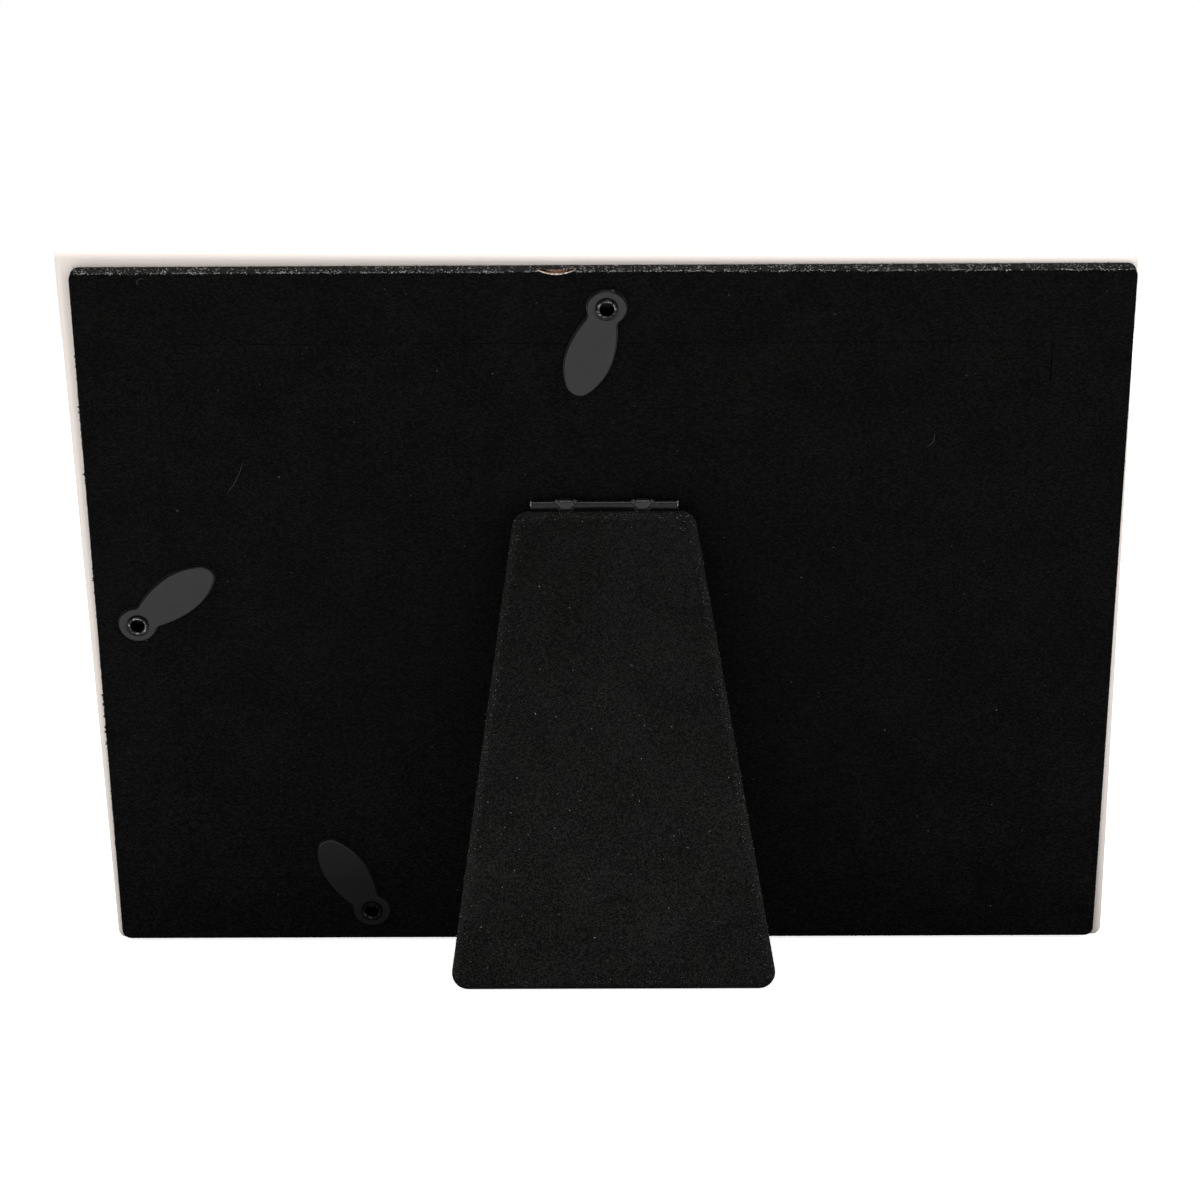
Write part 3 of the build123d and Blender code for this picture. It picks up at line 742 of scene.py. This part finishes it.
class FRAME_OT_lint(bpy.types.Operator):
    """Sprinkles dust and a few hairs on the velvet"""
    bl_idname = "photo_frame.lint"
    bl_label = "Lint"

    def execute(self, context):
        settings = context.scene.frame_lint
        material = fibre_material("lint_grey", (0.004, 0.004, 0.004), settings.colour)
        dice = np.random.default_rng(51)
        count = settings.specks
        spots = np.column_stack([
            dice.uniform(-106, 106, count), dice.uniform(4, BOARD_TOP - 2, count),
        ])
        tones = 0.06 + 0.6 * dice.uniform(0, 1, count) ** 5
        self.sprinkle("back_lint", 52, spots, BOARD_OUT, tones, PANEL, material, "frame")
        count = settings.leg_specks
        down = np.sqrt(dice.uniform(0.02, 0.97, count))
        half = 18.0 + 15.0 * down
        spots = np.column_stack([
            1.6 * down + half * dice.uniform(-0.97, 0.97, count), -1.8 - 101.0 * down,
        ])
        tones = 0.05 + 0.95 * dice.uniform(0, 1, count) ** 10
        self.sprinkle("leg_lint", 53, spots, LEG_FACE, tones, LEG, material, "leg")
        for name, place, turn, sweep, radius in (
            ("hair_right", (66.3, 130.0), 20.0, 95.0, 2.6),
            ("hair_left", (-94.0, 166.4), 200.0, 150.0, 1.1),
            ("hair_middle", (-95.0, 129.5), -13.0, 26.0, 20.0),
        ):
            self.lay_hair(name, place, math.radians(turn), math.radians(sweep), radius, material)
        return {"FINISHED"}

    def sprinkle(self, name, seed, spots, face, tones, matrix, material, body):
        """Each speck is a small tangle of fibres on the pile."""
        dice = np.random.default_rng(seed)
        tangle = 4
        count = tangle * len(spots)
        reach = np.repeat(dice.uniform(0.03, 0.15, len(spots)), tangle)
        roots = np.column_stack([
            np.repeat(spots, tangle, axis=0) + dice.normal(0, 0.5, (count, 2)) * reach[:, None],
            face + dice.uniform(0.0, 0.08, count),
        ])
        ways = dice.normal(0, 1, (count, 3))
        ways[:, 2] = np.abs(ways[:, 2]) * 0.3
        lengths = reach * dice.uniform(1.2, 2.4, count)
        widths = dice.uniform(0.04, 0.09, count)
        if body == "frame":
            press_down(roots, ways, lengths, widths)
        fibres = (roots, ways, lengths, widths, np.repeat(tones, tangle))
        strew(name, seed + 10, fibres, matrix, material, body)

    def lay_hair(self, name, place, turn, sweep, radius, material):
        """A hair: a tiny ring spun along an arc, tapered to its ends."""
        hair = start(
            bpy.ops.mesh.primitive_circle_add, vertices=5, radius=0.035, location=(radius, 0, 0),
            rotation=(math.pi / 2, 0, 0),
        )
        bpy.ops.object.transform_apply()
        edit_all()
        bpy.ops.mesh.spin(steps=16, angle=sweep, center=(0, 0, 0), axis=(0, 0, 1))
        bpy.ops.object.mode_set(mode="OBJECT")
        for vertex in hair.data.vertices:
            heading = math.atan2(vertex.co.y, vertex.co.x)
            core = Vector((radius * math.cos(heading), radius * math.sin(heading), 0.0))
            slim = abs(math.sin(math.pi * heading / sweep)) ** 0.4
            vertex.co = core + (vertex.co - core) * slim
            vertex.co.z += 0.05 + 0.12 * math.sin(3.0 * heading) ** 2
        edit_all()
        bpy.ops.mesh.remove_doubles(threshold=0.002)
        bpy.ops.object.mode_set(mode="OBJECT")
        tone = hair.data.attributes.new("tone", "FLOAT", "POINT")
        for mark in tone.data:
            mark.value = 0.16
        lie = PANEL @ Matrix.Translation(Vector((*place, BOARD_OUT))) @ Matrix.Rotation(turn, 4, "Z")
        settle(hair, name, lie, material, "frame")


class FRAME_OT_chip(bpy.types.Operator):
    """Tears the velvet at the chip: a cream lip of backing paper and loose brown board fibres"""
    bl_idname = "photo_frame.chip"
    bl_label = "Torn chip"

    def execute(self, context):
        settings = context.scene.frame_moulding
        paper, tree, shader = new_material("torn_paper", Roughness=0.9, Specular_IOR_Level=0.1)
        mottle = ramp(tree, noise(tree, own_place(tree, PANEL), 0.0006, 3.0), 0.35, 0.6)
        tint(tree, shader, mottle, scaled(0.6, settings.torn), settings.torn)
        lip = start(bpy.ops.mesh.primitive_grid_add, x_subdivisions=90, y_subdivisions=4, size=2.0)
        reach = math.asin(CHIP_WIDTH / 2 / CHIP_RADIUS) - 0.02
        for vertex in lip.data.vertices:
            across, over = vertex.co.x, vertex.co.y
            heading = across * reach
            swell = 1 - across**2
            ragged = math.sin(9 * across + 2) * 0.5 + math.sin(27 * across + 1) * 0.6
            ragged += 0.4 * math.sin(61 * across)
            radius = CHIP_RADIUS - 0.08 - 0.09 * swell * (1 + ragged)
            thick = (0.14 - 0.05 * across + 0.08 * swell + 0.11 * ragged) * (0.3 + 0.7 * swell)
            vertex.co = (
                CHIP_MIDDLE + radius * math.sin(heading), CHIP_CENTRE - radius * math.cos(heading),
                BOARD_OUT - 0.42 + max(0.03, thick) * (1 + over),
            )
        thicken = lip.modifiers.new("thickness", "SOLIDIFY")
        thicken.thickness = 0.1
        thicken.offset = 0.0
        bpy.ops.object.modifier_apply(modifier=thicken.name)
        settle(lip, "torn_lip", PANEL, paper, "frame", "board")

        loose = fibre_material("loose_board", (0.09, 0.035, 0.02), (0.85, 0.58, 0.42))
        dice = np.random.default_rng(61)
        count = 1300
        across = dice.uniform(-1, 1, count)
        heading = across * reach
        depth = dice.uniform(0.1, 1.0, count) * (1 - across**2) * (CHIP_DEPTH - 0.25)
        radius = CHIP_RADIUS - 0.15 - depth
        roots = np.column_stack([
            CHIP_MIDDLE + radius * np.sin(heading), CHIP_CENTRE - radius * np.cos(heading),
            np.where(depth > CHIP_DEPTH - 0.6, 1.88, 1.68),
        ])
        ways = dice.normal(0, 0.8, (count, 3))
        ways[:, 2] = np.abs(ways[:, 2]) * 0.5 + 0.15
        lengths = dice.uniform(0.15, 0.4, count)
        widths = dice.uniform(0.06, 0.12, count)
        tones = dice.uniform(0, 1, count) ** 1.6
        fibres = (roots, ways, lengths, widths, tones)
        strew("torn_fibres", 62, fibres, PANEL, loose, "frame", "board")
        return {"FINISHED"}


class FRAME_OT_hardware(bpy.types.Operator):
    """Gives the turn buttons, hinge and rivets their finish"""
    bl_idname = "photo_frame.hardware"
    bl_label = "Hardware"

    def execute(self, context):
        settings = context.scene.frame_hardware
        button, tree, shader = new_material("button_satin", Specular_IOR_Level=0.54)
        place = own_place(tree, PANEL)
        scuffs = noise(tree, place, 0.004, 4.0, 0.6)
        tint(tree, shader, scuffs, settings.button, scaled(1.5, settings.button))
        feed(tree, shader.inputs["Roughness"], ramp(tree, scuffs, 0.3, 0.7, 0.34, 0.42))
        bump(tree, shader, noise(tree, place, 0.0004, 3.0), 0.00001, 0.5)
        dress([f"turn_button_{side}" for side in PIVOTS], button)
        self.add_gate(button)
        for node, glint_span in PAINTED_GLINTS.items():
            self.paint_leaf(node, settings, *(MM * length for length in glint_span))

        steel, tree, shader = new_material("bare_steel", Metallic=1.0)
        scratches = noise(tree, own_place(tree), 0.0002, 3.0)
        tint(tree, shader, scratches, scaled(0.8, settings.steel), settings.steel)
        feed(tree, shader.inputs["Roughness"], ramp(tree, scratches, 0.3, 0.7, 0.25, 0.4))
        rivets = [f"{part}_rivet_{side}" for part in ("door", "leg") for side in ("left", "right")]
        dress(["hinge_pin", *rivets], steel)
        return {"FINISHED"}

    def paint_leaf(self, node, settings, far, low, high):
        """Satin paint, with a painted highlight where the leaf stands out far from the pin between two
        heights.
        """
        paint, tree, shader = new_material(f"{node}_paint", Specular_IOR_Level=0.85)
        streaks = noise(tree, own_place(tree, stretch=(0.2, 1.0, 1.0)), 0.0003, 3.0)
        _, up, out = own_axes(tree, LEG)
        away = maths(tree, "ADD", product(tree, up, up), product(tree, out, out))
        # Painted highlight: a lighter, duller patch on the faces that mirror the bright floor
        painted_glint = product(
            tree, maths(tree, "GREATER_THAN", up, low), maths(tree, "LESS_THAN", up, high),
            maths(tree, "GREATER_THAN", away, far * far), maths(tree, "GREATER_THAN", out, 0.0),
        )
        glossy = mix_colours(tree, streaks, settings.paint, scaled(1.8, settings.paint))
        tint(tree, shader, painted_glint, glossy, settings.painted_glint)
        smooth = ramp(tree, streaks, 0.3, 0.7, 0.18, 0.28)
        feed(tree, shader.inputs["Roughness"], ramp(tree, painted_glint, 0.0, 1.0, smooth, 0.6))
        dress([node], paint)

    def add_gate(self, material):
        """The torn-off gate on the rim of the top button's head, opposite its leaf"""
        gate = start(bpy.ops.mesh.primitive_cube_add, size=1.0, scale=(0.6, 0.75, 0.5))
        bpy.ops.object.transform_apply()
        bpy.ops.object.mode_set(mode="EDIT")
        bpy.ops.mesh.select_all(action="DESELECT")
        bpy.ops.object.mode_set(mode="OBJECT")
        outermost = max(gate.data.polygons, key=lambda face: face.center.x)
        outermost.select = True
        bpy.ops.object.mode_set(mode="EDIT")
        bpy.ops.mesh.select_mode(type="FACE")
        bpy.ops.mesh.extrude_region_move(TRANSFORM_OT_translate={"value": (0.12, 0.05, 0.04)})
        bpy.ops.transform.resize(value=(1.0, 0.6, 0.6))
        bpy.ops.mesh.select_all(action="SELECT")
        bpy.ops.mesh.bevel(offset=0.08, segments=2, affect="EDGES")
        bpy.ops.object.mode_set(mode="OBJECT")
        bpy.ops.object.shade_smooth_by_angle(angle=math.radians(40))
        place = PANEL @ Matrix.Translation(Vector((*PIVOTS["top"], BUTTON_FOOT + 0.45)))
        place = place @ Matrix.Rotation(TOP_BUTTON_TURN + math.pi, 4, "Z")
        place = place @ Matrix.Translation(Vector((BUTTON_HEAD, 0, 0)))
        settle(gate, "button_gate", place, material, "button_top", "button_plastic")


class FRAME_OT_eyelets(bpy.types.Operator):
    """Spins the eyelets, whose rolled lips are split and worn bright, and kept brightest on one side
    as a painted reflection
    """
    bl_idname = "photo_frame.eyelets"
    bl_label = "Eyelets"

    def execute(self, context):
        settings = context.scene.frame_hardware
        worn, tree, shader = new_material("eyelet_worn", Metallic=1.0)
        pits = ramp(tree, noise(tree, own_place(tree), 0.0003, 3.0, 0.6), 0.46, 0.56)
        blots = ramp(tree, noise(tree, own_place(tree), 0.0011, 2.0), 0.42, 0.56, 0.2, 1.0)
        wear = product(tree, attribute(tree, "wear"), ramp(tree, pits, 0.0, 1.0, 0.12, 1.0), blots)
        tint(tree, shader, wear, (0.012, 0.012, 0.012), settings.eyelet)
        feed(tree, shader.inputs["Roughness"], ramp(tree, wear, 0.0, 1.0, 0.6, 0.28))
        # How much each lip is worn bright all round, and on which side it stays bright, as a painted
        # reflection of the lit floor
        self.spin_eyelet("top", worn, 0.7, math.radians(75.0))
        self.spin_eyelet("side", worn, 0.9, math.radians(120.0))
        self.spin_eyelet("bottom", worn, 0.12, math.radians(245.0))
        return {"FINISHED"}

    def spin_eyelet(self, side, material, all_round, heading):
        # The section from the bore over the rolled lip and down the tube to the clinched end,
        # with how bright each point is worn
        section = [
            (1.5, 0.1, 0.0), (1.5, 3.45, 0.0), (1.5, 3.66, 0.2), (1.53, 3.8, 0.6), (1.61, 3.92, 1.0),
            (1.74, 3.99, 1.0), (1.88, 4.0, 0.75), (2.02, 3.95, 0.3), (2.15, 3.85, 0.12),
            (2.26, 3.72, 0.08), (2.33, 3.58, 0.05), (2.35, 3.47, 0.0), (2.3, 3.41, 0.0),
            (1.8, 3.4, 0.0), (1.8, 0.5, 0.1), (2.3, 0.5, 0.3), (2.4, 0.3, 0.3), (2.3, 0.1, 0.3),
        ]
        ring = start(bpy.ops.mesh.primitive_circle_add, vertices=len(section), radius=1.0)
        wear = ring.data.attributes.new("wear", "FLOAT", "POINT")
        for vertex, (radius, height, bright) in zip(ring.data.vertices, section):
            vertex.co = (radius, 0.0, height)
            wear.data[vertex.index].value = bright
        edit_all()
        bpy.ops.mesh.spin(steps=84, angle=2 * math.pi, center=(0, 0, 0), axis=(0, 0, 1))
        bpy.ops.mesh.select_all(action="SELECT")
        bpy.ops.mesh.remove_doubles(threshold=0.001)
        bpy.ops.mesh.normals_make_consistent(inside=False)
        bpy.ops.object.mode_set(mode="OBJECT")
        pivot = PIVOTS[side]
        dice = np.random.default_rng(int(pivot[1]))
        wear = ring.data.attributes["wear"]
        count = 14
        splits = np.arange(count) * 2 * math.pi / count + dice.uniform(-0.13, 0.13, count)
        depths = dice.uniform(0.05, 0.22, count)
        for vertex in ring.data.vertices:
            radius = math.hypot(vertex.co.x, vertex.co.y)
            turn = math.atan2(vertex.co.y, vertex.co.x) % (2 * math.pi)
            # Painted reflection: away from its bright side, the lip's worn brightness is dimmed to its
            # share
            facing = max(0.0, math.cos(turn - heading)) ** 3
            wear.data[vertex.index].value *= all_round + (1 - all_round) * facing
            if vertex.co.z > 3.7 and radius > 1.55:
                away = np.abs((splits - turn + math.pi) % (2 * math.pi) - math.pi)
                dip = float(np.max(depths * np.clip(1 - away / 0.1, 0, 1)))
                vertex.co.z -= dip * min(1.0, (vertex.co.z - 3.7) / 0.2)
        bpy.ops.object.shade_smooth_by_angle(angle=math.radians(40))
        place = PANEL @ Matrix.Translation(Vector((*pivot, 0.0)))
        settle(ring, f"worn_eyelet_{side}", place, material, "frame", "eyelet_steel")
        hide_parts(f"eyelet_{side}")


class FRAME_OT_stage(bpy.types.Operator):
    """Sets the pale floor, the soft studio light and the camera"""
    bl_idname = "photo_frame.stage"
    bl_label = "Stage"

    def execute(self, context):
        settings = context.scene.frame_stage
        scene = context.scene
        scene.view_settings.view_transform = "Standard"

        floor = start(bpy.ops.mesh.primitive_plane_add, size=12.0, location=(0.0, 0.0, -0.0002))
        floor.name = "floor"
        material, tree, shader = new_material("floor_white", Roughness=1.0, Specular_IOR_Level=0.0)
        seen = tree.nodes.new("ShaderNodeLightPath").outputs["Is Camera Ray"]
        toward = own_axes(tree)[1]
        # Painted shade: for all but camera rays the floor is darker under and behind the frame,
        # standing in for its shade there, and it fades darker far towards the camera
        bright = ramp(tree, toward, -0.02, 0.05, 0.42, ramp(tree, toward, 0.3, 0.9, 1.0, 0.1))
        bright = maths(tree, "MAXIMUM", seen, bright)
        tint(tree, shader, bright, (0.0, 0.0, 0.0), (0.82, 0.82, 0.82))
        glow = add_node(
            tree, "ShaderNodeEmission", Color=(1.0, 1.0, 1.0), Strength=product(tree, seen, 0.85)
        )
        both = tree.nodes.new("ShaderNodeAddShader")
        tree.links.new(shader.outputs[0], both.inputs[0])
        tree.links.new(glow.outputs[0], both.inputs[1])
        tree.links.new(both.outputs[0], tree.nodes["Material Output"].inputs["Surface"])
        floor.data.materials.append(material)

        backdrop = start(
            bpy.ops.mesh.primitive_plane_add, size=5.0, location=(0.0, -1.8, 1.5),
            rotation=(math.pi / 2, 0.0, 0.0),
        )
        backdrop.name = "backdrop"
        material, _, _ = new_material(
            "backdrop_white", Base_Color=(0.0, 0.0, 0.0), Emission_Color=(1.0, 1.0, 1.0),
            Emission_Strength=1.0,
        )
        backdrop.data.materials.append(material)

        world = bpy.data.worlds.new("studio")
        scene.world = world
        world.use_nodes = True
        tree = world.node_tree
        paths = tree.nodes.new("ShaderNodeLightPath")
        straight, through = paths.outputs["Is Camera Ray"], paths.outputs["Is Transmission Ray"]
        direct = maths(tree, "MAXIMUM", straight, through)
        soft = ramp(tree, paths.outputs["Is Glossy Ray"], 0.0, 1.0, 1.0, 0.24)
        level = ramp(tree, direct, 0.0, 1.0, soft, 1.0)
        background = tree.nodes["Background"]
        feed(tree, background.inputs["Color"], (1.0, 1.0, 1.0))
        feed(tree, background.inputs["Strength"], level)

        bpy.ops.object.light_add(type="AREA", location=(0.1, 0.15, 1.4))
        key = context.object
        key.name = "key_light"
        key.data.shape = "RECTANGLE"
        key.data.size = 1.1
        key.data.size_y = 0.9
        key.data.energy = settings.key_power
        key.rotation_euler = (key.location - Vector((0, 0, 0.08))).to_track_quat("Z", "Y").to_euler()

        bpy.ops.object.camera_add(location=settings.camera_place, rotation=settings.camera_turn)
        camera = context.object
        camera.data.sensor_width = 36.0
        camera.data.lens = settings.lens
        camera.data.clip_start = 0.05
        scene.camera = camera
        return {"FINISHED"}


OPERATORS = (
    FRAME_OT_stage, FRAME_OT_moulding, FRAME_OT_pocket, FRAME_OT_velvet, FRAME_OT_pile, FRAME_OT_lint,
    FRAME_OT_chip, FRAME_OT_hardware, FRAME_OT_eyelets,
)


class FRAME_PT_sidebar(bpy.types.Panel):
    """Lists the steps that dress the frame"""
    bl_idname = "FRAME_PT_sidebar"
    bl_label = "Photo Frame"
    bl_space_type = "VIEW_3D"
    bl_region_type = "UI"
    bl_category = "Photo Frame"

    def draw(self, context):
        for operator in OPERATORS:
            self.layout.operator(operator.bl_idname)


SETTINGS = {
    "frame_velvet": VelvetSettings,
    "frame_lint": LintSettings,
    "frame_hardware": HardwareSettings,
    "frame_moulding": MouldingSettings,
    "frame_stage": StageSettings,
}


def register():
    for cls in (*SETTINGS.values(), *OPERATORS, FRAME_PT_sidebar):
        bpy.utils.register_class(cls)
    for name, group in SETTINGS.items():
        setattr(bpy.types.Scene, name, PointerProperty(type=group))


def unregister():
    for name in SETTINGS:
        delattr(bpy.types.Scene, name)
    for cls in reversed((*SETTINGS.values(), *OPERATORS, FRAME_PT_sidebar)):
        bpy.utils.unregister_class(cls)


def main():
    register()
    bpy.ops.photo_frame.stage()
    bpy.ops.photo_frame.moulding()
    bpy.ops.photo_frame.pocket()
    bpy.ops.photo_frame.velvet()
    bpy.ops.photo_frame.pile()
    bpy.ops.photo_frame.lint()
    bpy.ops.photo_frame.chip()
    bpy.ops.photo_frame.hardware()
    bpy.ops.photo_frame.eyelets()


if __name__ == "__main__":
    main()
